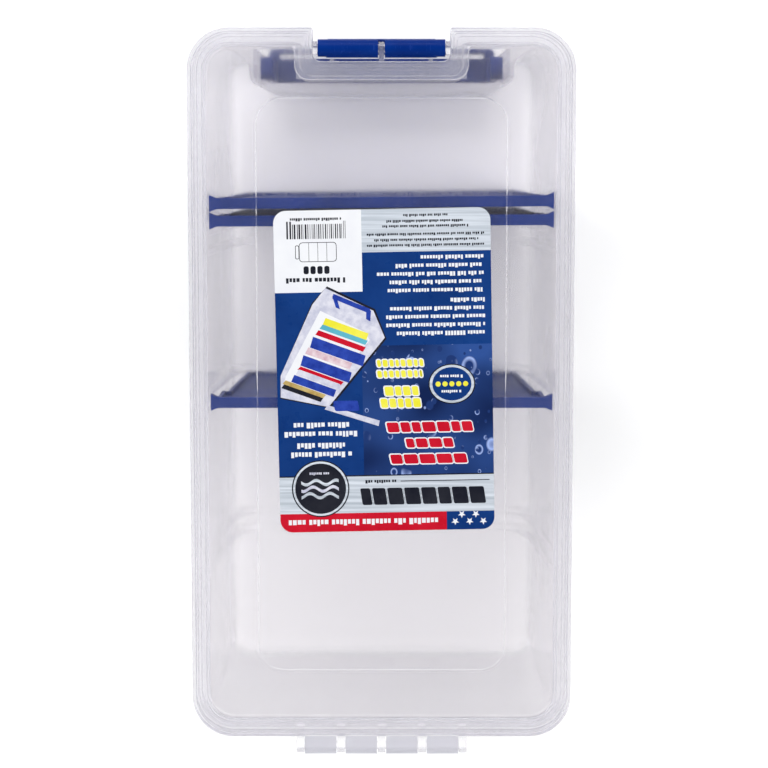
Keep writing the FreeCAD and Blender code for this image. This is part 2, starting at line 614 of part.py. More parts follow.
def build_handle():
    handle = new_body("handle")
    outer = f"({bay_half_at('grip_low')} - side_gap - 0.25)"
    rear = f"({HANDLE_Y} + grip_deep / 2)"
    front = f"({rear} - grip_deep - grip_slot - grip_lip)"
    grip = level_profile(handle, "grip_plan", "grip_low", [
        (f"-{outer}", front, "3"), (outer, front, "3"), (outer, rear, "2"), (f"-{outer}", rear, "2")])
    pad(handle, "grip_pad", grip, "grip_tall")
    low, high = level_edges(number("grip_low")), level_edges(number("grip_low + grip_tall"))
    fillet(handle, "grip_round", "1.5", lambda edge: low(edge) or high(edge))
    slot_half = f"({outer} - handle_leg - 1)"
    slot_front, slot_rear = f"({front} + grip_lip)", f"({front} + grip_lip + grip_slot)"
    slot = level_profile(handle, "grip_slot_plan", "grip_low", [
        (f"-{slot_half}", slot_front, "1"), (slot_half, slot_front, "1"),
        (slot_half, slot_rear, "1"), (f"-{slot_half}", slot_rear, "1")])
    pocket(handle, "grip_slot_cut", slot, "grip_tall", back=True)
    # straight legs, with a round boss at the top of each that reaches out to the bay's side wall
    half = "(handle_leg_wide / 2)"
    boss_reach = f"({bay_half_at(f'(handle_z - {half})')} - side_gap - {outer})"
    for name, side, inward in (("left", "-", False), ("right", "", True)):
        leg = new_sketch(handle, "leg_" + name, "YZ_Plane", f"{side}{outer}")
        outline(leg, [(f"{HANDLE_Y} - {half}", "grip_low + 3", "2"),
                      (f"{HANDLE_Y} + {half}", "grip_low + 3", "2"),
                      (f"{HANDLE_Y} + {half}", f"handle_z + {half}", f"{half} - 0.1"),
                      (f"{HANDLE_Y} - {half}", f"handle_z + {half}", f"{half} - 0.1")])
        pad(handle, "leg_pad_" + name, leg, "handle_leg", back=inward)
        boss = new_sketch(handle, "boss_" + name, "YZ_Plane", f"{side}({outer} - 1)")
        circle(boss, HANDLE_Y, "handle_z", f"{half} - 0.2")
        pad(handle, "boss_pad_" + name, boss, f"{boss_reach} + 1", back=not inward)
    bore = new_sketch(handle, "stud_bore_end", "YZ_Plane", "0")
    circle(bore, HANDLE_Y, "handle_z", "handle_stud + fit")
    pocket(handle, "stud_bore", bore, "bay_width", middle=True)
    return handle


# ---- dividers ---------------------------------------------------------------------------------

def build_divider(label, y, turn):
    divider = new_body(label)
    low = "(tub_floor + divider_gap)"
    top = f"({low} + divider_tall)"
    ear = f"({SIDE} - band - divider_side)"
    shoulder = f"({top} - divider_ear)"
    body_half = f"({ear} - divider_step)"
    foot = f"({body_half} - wall_slope * ({shoulder} - {low}) - 0.9)"

    def frame(inset, round_foot):
        right = [(f"({foot} - {inset})", f"{low} + {inset}", round_foot),
                 (f"({body_half} - {inset})", f"{shoulder} + {inset}", "1"),
                 (f"({ear} - {inset})", f"{shoulder} + {inset}", "1"),
                 (f"({ear} - {inset})", f"{top} - {inset}", "1")]
        left = [(f"-{x}", z, radius) for x, z, radius in reversed(right)]
        return right + left
    web = new_sketch(divider, label + "_web", "XZ_Plane", "0")
    outline(web, frame("0", "3"))
    pad(divider, label + "_web_pad", web, "divider_web", middle=True)
    edge = new_sketch(divider, label + "_edge", "XZ_Plane", "0")
    outline(edge, frame("0", "3"))
    outline(edge, frame("divider_edge", "1.5"))
    pad(divider, label + "_edge_pad", edge, "divider_frame", middle=True)
    # dovetail tabs at the top corners
    for name, side in (("left", -1), ("right", 1)):
        reach = f"({SIDE} - band - 2 * divider_gap)"
        tab = [(f"{ear} - 1", "-divider_frame / 2", "0"), (f"{ear} + 0.1", "-divider_frame / 2", "0"),
               (reach, "-tab_width / 2", "0"), (reach, "tab_width / 2", "0"),
               (f"{ear} + 0.1", "divider_frame / 2", "0"), (f"{ear} - 1", "divider_frame / 2", "0")]
        if side < 0:
            tab = [(f"-({x})", y_at, radius) for x, y_at, radius in reversed(tab)]
        plan = level_profile(divider, f"{label}_tab_{name}", top, tab)
        pad(divider, f"{label}_tab_pad_{name}", plan, "tab_tall", back=True)
    divider.setExpression("Placement.Base.y", bind(y))
    divider.Placement.Rotation = FreeCAD.Rotation(FreeCAD.Vector(0, 0, 1), number(turn))
    return divider


# ---- label ------------------------------------------------------------------------------------

def build_label():
    label = new_body("label")
    x, y = "label_width / 2", "label_length / 2"
    sheet_plan = level_profile(label, "label_plan", "0", [
        (f"-{x}", f"-{y}", "label_corner"), (x, f"-{y}", "label_corner"),
        (x, y, "label_corner"), (f"-{x}", y, "label_corner")])
    pad(label, "label_sheet", sheet_plan, "label_thick")
    label.Placement.Rotation = FreeCAD.Rotation(FreeCAD.Vector(0, 0, 1), number("label_turn"))
    label.setExpression("Placement.Base.x", bind("-1.5"))
    label.setExpression("Placement.Base.y", bind("-label_shift"))
    label.setExpression("Placement.Base.z", bind("height - field_drop - panel_drop"))
    return label


# ---- checks and export ------------------------------------------------------------------------

pieces = [build_tub(), build_lid(), build_latch(), build_handle(),
          build_divider("divider_middle", "slot_middle", "0"),
          build_divider("divider_spare", "loose_middle", "loose_turn"),
          build_divider("divider_front", "loose_middle - loose_pitch", "2 * loose_turn"),
          build_label()]
doc.recompute()

for item in doc.Objects:
    if "Invalid" in item.State or "Error" in item.State:
        raise ValueError(f"{item.Name} failed: {item.State}")
os.makedirs("parts", exist_ok=True)
for piece in pieces:
    if piece.Shape.isNull() or not piece.Shape.isValid() or len(piece.Shape.Solids) != 1:
        raise ValueError(f"{piece.Label} is not one valid solid")
for piece in pieces:
    piece.Shape.exportStep(f"parts/{piece.Label}.step")
    box = piece.Shape.BoundBox
    print(f"{piece.Label}: {piece.Shape.Volume / 1000:.1f} cm3, z {box.ZMin:.2f} to {box.ZMax:.2f}")
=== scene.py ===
"""The looks of the clear tackle box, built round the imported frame. Metres, +Z up, latch end towards -Y."""
import math
import random

import bmesh
import bpy
from mathutils import Matrix, Vector


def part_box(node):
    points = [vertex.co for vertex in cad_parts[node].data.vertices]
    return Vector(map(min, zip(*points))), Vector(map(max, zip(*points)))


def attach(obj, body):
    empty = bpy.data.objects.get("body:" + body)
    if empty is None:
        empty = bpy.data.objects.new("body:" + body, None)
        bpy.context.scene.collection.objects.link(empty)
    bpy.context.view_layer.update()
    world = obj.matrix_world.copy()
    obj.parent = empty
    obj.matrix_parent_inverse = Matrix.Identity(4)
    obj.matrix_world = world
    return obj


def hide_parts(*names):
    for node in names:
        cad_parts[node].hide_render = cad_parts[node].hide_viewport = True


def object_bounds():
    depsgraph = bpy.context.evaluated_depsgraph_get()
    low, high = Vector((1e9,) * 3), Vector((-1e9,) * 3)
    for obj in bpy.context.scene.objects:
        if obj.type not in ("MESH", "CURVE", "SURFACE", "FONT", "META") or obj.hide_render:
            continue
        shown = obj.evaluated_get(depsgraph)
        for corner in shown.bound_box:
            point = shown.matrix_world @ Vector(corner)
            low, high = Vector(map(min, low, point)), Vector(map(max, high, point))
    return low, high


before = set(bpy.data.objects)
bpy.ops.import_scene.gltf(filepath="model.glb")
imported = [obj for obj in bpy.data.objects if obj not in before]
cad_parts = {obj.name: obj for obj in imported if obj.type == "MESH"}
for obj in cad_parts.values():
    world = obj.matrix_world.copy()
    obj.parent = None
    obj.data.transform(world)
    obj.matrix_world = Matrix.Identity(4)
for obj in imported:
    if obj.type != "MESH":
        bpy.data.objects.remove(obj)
cad_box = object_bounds()
scene = bpy.context.scene
MM = 0.001

# ---- camera, floor and light --------------------------------------------------------------------

CAMERA_AT = (-0.0012, -0.117, 1.1616)
CAMERA_TILT = math.radians(6.37)      # from straight down, towards the hinge end
CAMERA_LENS = 101.25
FLOOR_SIZE = 40.0
FLOOR_GAP = 0.0004                    # floor below the resting face
FLOOR_WHITE = (0.985, 0.985, 0.985)
SKY = [(0.0, 0.90), (0.62, 0.90), (0.90, 0.20), (1.0, 0.16)]   # grey by height: pale sides, darker zenith
AIM = (0, 0, 0.1)
SOFTBOXES = (                         # name, place, width, length, watts
    ("softbox_left", (1.3, -0.3, 1.2), 0.9, 1.6, 15),
    ("softbox_right", (-1.3, 0.1, 1.3), 0.9, 1.6, 14),
    ("softbox_front", (0.2, -1.5, 1.1), 1.4, 0.7, 13),
)
MAX_BOUNCES, CLEAR_BOUNCES = 20, 32


def make_camera():
    """Looks down on the lid, with the latch end at the top of the picture."""
    data = bpy.data.cameras.new("camera")
    data.lens = CAMERA_LENS
    data.sensor_width = 36.0
    data.clip_start, data.clip_end = 0.01, 50.0
    camera = bpy.data.objects.new("camera", data)
    right = Vector((-1, 0, 0))
    up = Vector((0, -math.cos(CAMERA_TILT), -math.sin(CAMERA_TILT)))
    back = right.cross(up)
    turn = Matrix((right, up, back)).transposed().to_4x4()
    camera.matrix_world = Matrix.Translation(CAMERA_AT) @ turn
    scene.collection.objects.link(camera)
    scene.camera = camera


def softbox(name, place, width, length, power):
    data = bpy.data.lights.new(name, "AREA")
    data.shape = "RECTANGLE"
    data.size, data.size_y = width, length
    data.energy = power
    light = bpy.data.objects.new(name, data)
    light.location = place
    light.rotation_euler = (Vector(AIM) - Vector(place)).to_track_quat("-Z", "Y").to_euler()
    scene.collection.objects.link(light)


def make_studio():
    world = bpy.data.worlds.new("studio")
    scene.world = world
    world.use_nodes = True
    sky = Shader(world.node_tree)
    way = sky.node("ShaderNodeTexCoord").outputs["Generated"]
    up = sky.node("ShaderNodeSeparateXYZ", Vector=way).outputs["Z"]
    background = sky.tree.nodes["Background"]
    sky.set(background, "Color", sky.ramp(up, SKY))
    sky.set(background, "Strength", 1.0)
    for light in SOFTBOXES:
        softbox(*light)
    half = FLOOR_SIZE / 2
    mesh = bpy.data.meshes.new("floor")
    corners = [(-half, -half, 0), (half, -half, 0), (half, half, 0), (-half, half, 0)]
    mesh.from_pydata(corners, [], [(0, 1, 2, 3)])
    floor = bpy.data.objects.new("floor", mesh)
    floor.location.z = cad_box[0].z - FLOOR_GAP
    scene.collection.objects.link(floor)
    material = new_material("floor_paper")
    mesh.materials.append(material.finish(material.principled(color=FLOOR_WHITE, roughness=0.75)))
    scene.view_settings.view_transform = "Standard"
    scene.cycles.transparent_max_bounces = CLEAR_BOUNCES
    scene.cycles.max_bounces = MAX_BOUNCES
    scene.cycles.transmission_bounces = MAX_BOUNCES


# ---- materials ----------------------------------------------------------------------------------

class Shader:
    """Nodes under construction in one tree. Textures use object coordinates, in metres."""

    def __init__(self, tree, material=None):
        self.tree = tree
        self.material = material
        self.coordinates = None

    def node(self, kind, **inputs):
        made = self.tree.nodes.new(kind)
        for name, value in inputs.items():
            self.set(made, name.replace("_", " "), value)
        return made

    def set(self, node, name, value):
        socket = node.inputs[name]
        if isinstance(value, bpy.types.NodeSocket):
            self.tree.links.new(value, socket)
        elif isinstance(value, (tuple, list)) and len(value) == 3 and socket.type == "RGBA":
            socket.default_value = (*value, 1)
        else:
            socket.default_value = value

    def place(self, stretch=(1, 1, 1), turn=0.0):
        """Object coordinates, stretched and turned about Z."""
        if self.coordinates is None:
            self.coordinates = self.tree.nodes.new("ShaderNodeTexCoord")
        mapping = self.tree.nodes.new("ShaderNodeMapping")
        self.tree.links.new(self.coordinates.outputs["Object"], mapping.inputs["Vector"])
        mapping.inputs["Scale"].default_value = stretch
        mapping.inputs["Rotation"].default_value = (0, 0, turn)
        return mapping.outputs["Vector"]

    def noise(self, scale, detail=3.0, rough=0.5, stretch=(1, 1, 1), turn=0.0):
        made = self.node("ShaderNodeTexNoise", Vector=self.place(stretch, turn), Scale=scale, Detail=detail,
                         Roughness=rough)
        return made.outputs["Fac"]

    def ramp(self, factor, stops):
        """stops are (position, colour or grey) pairs."""
        made = self.node("ShaderNodeValToRGB", Fac=factor)
        line = made.color_ramp
        while len(line.elements) < len(stops):
            line.elements.new(0.5)
        for element, (position, colour) in zip(line.elements, stops):
            element.position = position
            grey = isinstance(colour, (int, float))
            element.color = (colour, colour, colour, 1) if grey else (*colour, 1)
        return made.outputs["Color"]

    def math(self, operation, *values):
        made = self.tree.nodes.new("ShaderNodeMath")
        made.operation = operation
        for socket, value in zip(made.inputs, values):
            if isinstance(value, bpy.types.NodeSocket):
                self.tree.links.new(value, socket)
            else:
                socket.default_value = value
        return made.outputs[0]

    def blend(self, factor, a, b):
        """A colour mixed from a to b."""
        made = self.tree.nodes.new("ShaderNodeMix")
        made.data_type = "RGBA"
        for name, value in (("Factor", factor), ("A", a), ("B", b)):
            socket = next(s for s in made.inputs
                          if s.name == name and s.type in ("VALUE", "RGBA") and s.enabled)
            if isinstance(value, bpy.types.NodeSocket):
                self.tree.links.new(value, socket)
            else:
                socket.default_value = (*value, 1) if isinstance(value, tuple) else value
        return next(s for s in made.outputs if s.type == "RGBA" and s.enabled)

    def bump(self, height, strength, distance, before=None):
        made = self.node("ShaderNodeBump", Height=height, Strength=strength, Distance=distance)
        if before is not None:
            self.set(made, "Normal", before)
        return made.outputs["Normal"]

    def principled(self, color, roughness, **inputs):
        made = self.tree.nodes.new("ShaderNodeBsdfPrincipled")
        self.set(made, "Base Color", color)
        self.set(made, "Roughness", roughness)
        for name, value in inputs.items():
            self.set(made, name.replace("_", " "), value)
        return made.outputs[0]

    def mix(self, factor, a, b):
        made = self.tree.nodes.new("ShaderNodeMixShader")
        if isinstance(factor, bpy.types.NodeSocket):
            self.tree.links.new(factor, made.inputs[0])
        else:
            made.inputs[0].default_value = factor
        self.tree.links.new(a, made.inputs[1])
        self.tree.links.new(b, made.inputs[2])
        return made.outputs[0]

    def finish(self, surface):
        output = self.tree.nodes.new("ShaderNodeOutputMaterial")
        self.tree.links.new(surface, output.inputs["Surface"])
        return self.material


def new_material(name):
    material = bpy.data.materials.new(name)
    material.use_nodes = True
    material.node_tree.nodes.clear()
    return Shader(material.node_tree, material)


LAMP_TINT = (0.985, 0.983, 0.985)     # what a clear wall takes from light that passes straight through
HAZE_AT_EDGE = 0.5
LID_WHITE, TUB_WHITE = (0.60, 0.60, 0.655), (0.70, 0.69, 0.71)


def clear_plastic(name, tint, haze, ripple):
    """Clear, slightly milky moulded plastic that bends light, with a whiter, thicker rim and painted grey
    shade on the hinge knuckles.
    """
    made = new_material(name)
    cloud = made.noise(14, 3)
    scuff = made.noise(900, 2, 0.6, (1, 0.06, 1), 0.5)
    roughness = made.ramp(made.math("MULTIPLY", cloud, scuff), [(0.12, 0.06), (0.42, 0.16)])
    ripples = made.bump(made.noise(12, 1, 0.3), ripple, 0.004)
    flow = made.bump(made.noise(90, 2, 0.5, (1, 0.2, 1)), ripple * 0.4, 0.0006, ripples)
    glass = made.principled(tint, roughness, IOR=1.42, Transmission_Weight=1.0, Specular_IOR_Level=0.35,
                            Normal=flow)
    share = made.math("MAXIMUM", haze_share(made, cloud, haze, HAZE_AT_EDGE), rim_haze_and_knuckle_shade(made))
    body = made.mix(share, glass, milky(made, LID_WHITE))
    return made.finish(made.mix(lamp_rays(made), body, open_way(made, LAMP_TINT)))


# whiter, thicker places of the lid, in millimetres from the box's centre; the hinge knuckles get a heavy grey
# milky layer that is partly their milkiness and partly painted shade
RIM_WIDTH = 8.6
RIM_HAZE = 0.26
KNUCKLE_PAINTED_SHADE = 0.7
LID_CORNER = 20.0
LID_HALF = (92.0, 171.0)
NOTCH_HALF, NOTCH_END = 40.5, 147.0


def rim_haze_and_knuckle_shade(made):
    """Haze of the thicker places, the rim and its notch, and painted grey shade on the knuckles. 0 on the
    field inside them.
    """
    low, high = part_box("lid")
    along = made.node("ShaderNodeSeparateXYZ", Vector=made.node("ShaderNodeTexCoord").outputs["Generated"])
    places, over = [], []
    for axis, half in zip("XY", LID_HALF):
        k = "XY".index(axis)
        place = made.math("MULTIPLY_ADD", along.outputs[axis], (high - low)[k] / MM, low[k] / MM)
        places.append(place)
        over.append(made.math("SUBTRACT", made.math("ABSOLUTE", place), half - LID_CORNER))
    beyond = [made.math("MAXIMUM", value, 0.0) for value in over]
    square = made.math("ADD", made.math("POWER", beyond[0], 2.0), made.math("POWER", beyond[1], 2.0))
    inward = made.math("MINIMUM", made.math("MAXIMUM", *over), 0.0)
    depth = made.math("ADD", made.math("SQRT", square), inward)
    rim = made.math("GREATER_THAN", depth, LID_CORNER - RIM_WIDTH)
    middle = made.math("LESS_THAN", made.math("ABSOLUTE", places[0]), NOTCH_HALF)
    notch = made.math("MULTIPLY", middle, made.math("LESS_THAN", places[1], -NOTCH_END))
    knuckle = made.math("GREATER_THAN", places[1], LID_HALF[1] + 0.3)
    thick = made.math("MULTIPLY", made.math("MAXIMUM", rim, notch), RIM_HAZE)
    # painted shade: the hinge knuckles take a heavy share of the grey milky layer, standing in for their
    # shading
    return made.math("MAXIMUM", thick, made.math("MULTIPLY", knuckle, KNUCKLE_PAINTED_SHADE))


def milky(made, white):
    """The plastic's own faint whiteness: half passed on and half thrown back."""
    passed = made.node("ShaderNodeBsdfTranslucent", Color=white).outputs[0]
    back = made.node("ShaderNodeBsdfDiffuse", Color=white).outputs[0]
    return made.mix(0.5, passed, back)


def haze_share(made, cloud, facing, edge):
    """How much of the plastic's whiteness shows: little face on, more where the wall is seen edge on."""
    weight = made.node("ShaderNodeLayerWeight", Blend=0.5).outputs["Facing"]
    slope = made.ramp(weight, [(0.0, facing), (0.6, facing + (edge - facing) * 0.3), (1.0, edge)])
    return made.math("MULTIPLY", slope, made.ramp(cloud, [(0.3, 0.85), (0.7, 1.0)]))


def open_way(made, tint):
    return made.node("ShaderNodeBsdfTransparent", Color=tint).outputs[0]


def lamp_rays(made):
    """1 for rays that carry lamp light or soft light, which clear plastic lets straight through."""
    path = made.tree.nodes.new("ShaderNodeLightPath")
    return made.math("MAXIMUM", path.outputs["Is Shadow Ray"], path.outputs["Is Diffuse Ray"])


def thin_plastic(name, tint, haze, ripple):
    """Thin clear walls: seen straight through, with gloss that grows towards grazing view."""
    made = new_material(name)
    cloud = made.noise(14, 3)
    ripples = made.bump(made.noise(12, 1, 0.3), ripple, 0.004)
    flow = made.bump(made.noise(110, 2, 0.5, (1, 1, 0.15)), ripple * 0.6, 0.0006, ripples)
    roughness = made.ramp(cloud, [(0.3, 0.06), (0.7, 0.16)])
    gloss = made.node("ShaderNodeBsdfGlossy", Color=(0.95, 0.95, 0.96), Roughness=roughness,
                      Normal=flow).outputs[0]
    fresnel = made.node("ShaderNodeFresnel", IOR=1.40, Normal=flow).outputs[0]
    shine = made.mix(made.math("MULTIPLY", fresnel, 0.5), open_way(made, tint), gloss)
    body = made.mix(haze_share(made, cloud, haze, HAZE_AT_EDGE * 0.8), shine, milky(made, TUB_WHITE))
    return made.finish(made.mix(lamp_rays(made), body, open_way(made, LAMP_TINT)))


MATT_GLOSS = 0.06        # specular level of blue plastic and print


def blue_plastic(name, deep, pale, roughness, glow):
    """Moulded blue plastic: cloudy colour, orange-peel skin and fine handling scratches."""
    made = new_material(name)
    cloud = made.noise(45, 4)
    scratch = made.noise(1400, 2, 0.6, (1, 0.03, 1), 0.35)
    colour = made.blend(made.ramp(cloud, [(0.35, 0.0), (0.7, 1.0)]), deep, pale)
    worn = made.ramp(scratch, [(0.62, 0.0), (0.72, 0.25)])
    colour = made.blend(worn, colour, tuple(min(1.0, c * 1.6 + 0.04) for c in pale))
    grain = made.math("MULTIPLY", cloud, made.noise(300, 2))
    rough = made.ramp(grain, [(0.1, roughness - 0.08), (0.4, roughness + 0.1)])
    peel = made.bump(made.noise(420, 2), 0.12, 0.0004)
    peel = made.bump(scratch, 0.05, 0.0003, peel)
    return made.finish(made.principled(
        colour, rough, Normal=peel, Specular_IOR_Level=MATT_GLOSS, Subsurface_Weight=glow,
        Subsurface_Radius=(0.1, 0.2, 1.0), Subsurface_Scale=0.003))


def paint(node, material):
    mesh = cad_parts[node].data
    mesh.materials.clear()
    mesh.materials.append(material)


# ---- printed label ------------------------------------------------------------------------------

LABEL_WIDTH, LABEL_LENGTH = 103.6, 155.4      # millimetres; u runs to the right, v down
LABEL_TURN = math.radians(1.1)
LABEL_CORNER = 6.0
PRINT_RISE = 0.012                            # millimetres from one layer of print to the next
PRINT_SINK = 0.02                             # from the sheet's top down to the underside of the print
SHEET_LIFT = 0.02                             # keeps the sheet's underside off the lid's own face


def print_material(name, colour, other=None, scale=60, gloss=0.3, stretch=(1, 1, 1)):
    """Ink under a thin clear film, with a little mottle and slow waves in the film."""
    made = new_material(name)
    other = other or tuple(min(1.0, c * 1.12 + 0.01) for c in colour)
    mottle = made.ramp(made.noise(scale, 4, 0.6, stretch), [(0.35, 0.0), (0.65, 1.0)])
    tone = made.blend(mottle, colour, other)
    wave = made.bump(made.noise(38, 2), 0.06, 0.003)
    rough = made.ramp(made.noise(220, 3), [(0.3, gloss - 0.06), (0.7, gloss + 0.1)])
    return made.finish(made.principled(tone, rough, Normal=wave, Specular_IOR_Level=MATT_GLOSS))


def droplet_material(name):
    """Deep blue print with a picture of water drops on it."""
    made = new_material(name)
    dark, light = (0.005, 0.014, 0.065), (0.024, 0.066, 0.24)
    slope = made.ramp(made.noise(22, 2), [(0.35, 0.0), (0.65, 1.0)])
    ground = made.blend(slope, dark, light)
    for scale, size in ((95, 0.40), (240, 0.34)):
        cells = made.node("ShaderNodeTexVoronoi", Vector=made.place((1.0, 0.8, 1.0)), Scale=scale,
                          Randomness=1.0)
        chance = made.node("ShaderNodeSeparateColor", Color=cells.outputs["Color"]).outputs["Red"]
        reach = made.math("MULTIPLY", chance, size)
        inside = made.math("DIVIDE", cells.outputs["Distance"], made.math("MAXIMUM", reach, 0.02))
        body = made.ramp(inside, [(0.88, 1.0), (1.0, 0.0)])
        lit = made.ramp(inside, [(0.50, 0.0), (0.82, 1.0), (0.98, 0.0)])
        side = made.ramp(made.noise(scale * 0.9, 1), [(0.45, 0.0), (0.60, 1.0)])
        ground = made.blend(body, ground, (0.012, 0.032, 0.13))
        ground = made.blend(made.math("MULTIPLY", lit, side), ground, (0.30, 0.40, 0.72))
    wave = made.bump(made.noise(38, 2), 0.06, 0.003)
    return made.finish(made.principled(ground, 0.3, Normal=wave, Specular_IOR_Level=MATT_GLOSS))


class Print:
    """The label's artwork: thin closed slabs of ink, in layers, on one sheet."""

    def __init__(self, materials):
        self.mesh = bmesh.new()
        self.names = list(materials)
        low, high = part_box("label")
        self.middle = (low + high) / 2
        self.low, self.top = low.z, high.z
        self.turn = Matrix.Rotation(LABEL_TURN, 3, "Z")

    def at(self, u, v, z):
        flat = Vector(((LABEL_WIDTH / 2 - u) * MM, (v - LABEL_LENGTH / 2) * MM, 0))
        flat = self.turn @ flat
        return Vector((self.middle.x + flat.x, self.middle.y + flat.y, z))

    def slab(self, outline, ink, layer):
        """A closed slab over an outline of (u, v) points. Layer 0 is the sheet itself."""
        z_high = self.top + layer * PRINT_RISE * MM
        z_low = self.low + SHEET_LIFT * MM if layer == 0 else self.top - PRINT_SINK * MM
        area = sum(a[0] * b[1] - b[0] * a[1] for a, b in zip(outline, outline[1:] + outline[:1]))
        if area > 0:                          # u runs against +X, so this order faces up
            outline = outline[::-1]
        upper = [self.mesh.verts.new(self.at(u, v, z_high)) for u, v in outline]
        lower = [self.mesh.verts.new(self.at(u, v, z_low)) for u, v in outline]
        faces = [self.mesh.faces.new(upper[::-1]), self.mesh.faces.new(lower)]
        for i in range(len(outline)):
            j = (i + 1) % len(outline)
            faces.append(self.mesh.faces.new((upper[i], upper[j], lower[j], lower[i])))
        for face in faces:
            face.material_index = self.names.index(ink)

    def box(self, u0, v0, u1, v1, ink, layer, round_by=0.0, lean=0.0, corners="abcd"):
        """A rectangle. corners names which of top left, top right, bottom right, bottom left are round."""
        points = []
        for name, (u, v, turn) in zip("abcd", ((u0, v0, 180), (u1, v0, 270), (u1, v1, 0), (u0, v1, 90))):
            if round_by and name in corners:
                cu = u + (round_by if u == u0 else -round_by)
                cv = v + (round_by if v == v0 else -round_by)
                steps = 8 if round_by > 2 else 3
                for k in range(steps + 1):
                    a = math.radians(turn + 90 * k / steps)
                    points.append((cu + round_by * math.cos(a), cv + round_by * math.sin(a)))
            else:
                points.append((u, v))
        self.slab([(u + lean * (v1 - v), v) for u, v in points], ink, layer)

    def disc(self, u, v, radius, ink, layer, sides=48, squash=1.0):
        turns = [2 * math.pi * k / sides for k in range(sides)]
        ring = [(u + radius * math.cos(a), v + squash * radius * math.sin(a)) for a in turns]
        self.slab(ring, ink, layer)

    def star(self, u, v, radius, ink, layer):
        ring = []
        for k in range(10):
            r = radius if k % 2 else radius * 0.42
            a = math.pi / 2 + math.pi * k / 5
            ring.append((u + r * math.cos(a), v - r * math.sin(a)))
        self.slab(ring, ink, layer)

    def words(self, u0, u1, v, tall, ink, layer, draw, lean=0.0):
        """A line of small ticks in word-like groups. It stands for text and says nothing."""
        u = u0
        left = draw.randint(3, 8)
        while u < u1 - tall * 0.4:
            wide = tall * draw.choice((0.42, 0.5, 0.5, 0.62))
            rise = tall * draw.choice((0.72, 0.72, 0.8, 1.0))
            self.box(u, v, min(u + wide, u1), v + rise, ink, layer, lean=lean)
            u += wide + tall * 0.16
            left -= 1
            if left == 0:
                u += tall * 0.42
                left = draw.randint(3, 8)

    def heading(self, u0, v0, u1, v1, blocks, ink, edge, layer, lean, draw):
        """A row of heavy slanted blocks with an outline. It stands for a headline."""
        border, between = 0.55, 0.9
        widths = [draw.uniform(0.8, 1.25) for _ in range(blocks)]
        unit = (u1 - u0) / sum(widths)
        u = u0
        for width in widths:
            end = u + width * unit
            self.box(u - border, v0 - border, end - between + border, v1 + border, edge, layer, 1.2, lean)
            self.box(u, v0, end - between, v1, ink, layer + 1, 0.8, lean)
            u = end


def draw_frames(art):
    """The sheet, its blocks of ground colour and the lower stripe."""
    split, shelf, low, stripe = 42.0, 39.2, 128.3, 146.4
    width, length = LABEL_WIDTH, LABEL_LENGTH
    art.box(0, 0, width, length, "paper", 0, LABEL_CORNER)
    art.box(split, 0, width, 20.5, "silver", 1, LABEL_CORNER, corners="b")
    art.box(split, 20.5, width, 65.3, "navy", 1)
    art.box(0, shelf, split, low, "navy", 1)
    art.box(split - 1, 65.3, width, low, "drops", 2)
    art.box(0, low, width, stripe, "silver", 1)
    art.box(0, stripe, 80.5, length, "red", 1, LABEL_CORNER, corners="d")
    art.box(80.5, stripe, width, length, "navy", 1, LABEL_CORNER, corners="c")
    art.box(0, low - 0.4, width, low + 0.2, "ink", 3)


def draw_stock_block(art, draw):
    """Bars, a small plan of the box and the lines under it, at the white corner."""
    u = 6.2
    while u < 34.6:
        wide = draw.choice((0.25, 0.4, 0.55, 0.8))
        guard = u < 8.5 or u > 32.5
        art.box(u, 5.2 if guard else 6.6, u + wide, 13.6, "ink", 1)
        u += wide + draw.choice((0.35, 0.5, 0.7))
    art.words(8.0, 33.0, 3.6, 1.5, "ink", 1, draw)
    art.box(12.0, 15.2, 30.0, 24.6, "ink", 1, 1.6)
    art.box(12.3, 15.5, 29.7, 24.3, "paper", 2, 1.4)
    for k in (1, 2, 3):
        art.box(12.3 + k * 4.3, 15.5, 12.5 + k * 4.3, 24.3, "ink", 3)
    art.box(10.2, 16.6, 12.0, 23.2, "ink", 1, 0.6)
    art.box(10.5, 16.9, 11.8, 22.9, "paper", 2, 0.5)
    for k in range(4):
        art.box(14.0 + k * 3.3, 26.6, 16.5 + k * 3.3, 30.4, "ink", 1, 0.9)
    art.words(5.5, 35.0, 32.2, 2.5, "ink", 1, draw)


def draw_notes(art, draw):
    """Small print on the silver corner and on the two navy blocks."""
    for v, start, end in ((2.6, 62, 84), (5.4, 54, 91), (7.8, 52, 93),
                          (11.6, 44.5, 101), (14.3, 48, 98), (16.9, 44.5, 101)):
        art.words(start, end, v, 1.3, "ink", 2, draw)
    for k, start in enumerate((70, 58, 49, 55, 54)):
        art.words(start, 100.5, 22.4 + 3.95 * k, 2.1, "paper", 2, draw)
    for k, start in enumerate((84, 55, 53, 53, 58)):
        art.words(start, 100.5, 43.0 + 3.95 * k, 2.1, "paper", 2, draw)
    for v, start, end in ((102.0, 7.5, 35), (106.3, 3, 39.5), (111.9, 9, 32), (116.3, 6, 36)):
        art.words(start, end, v, 2.7, "paper", 2, draw)
    art.words(4.0, 77.0, 149.4, 3.0, "paper", 2, draw)


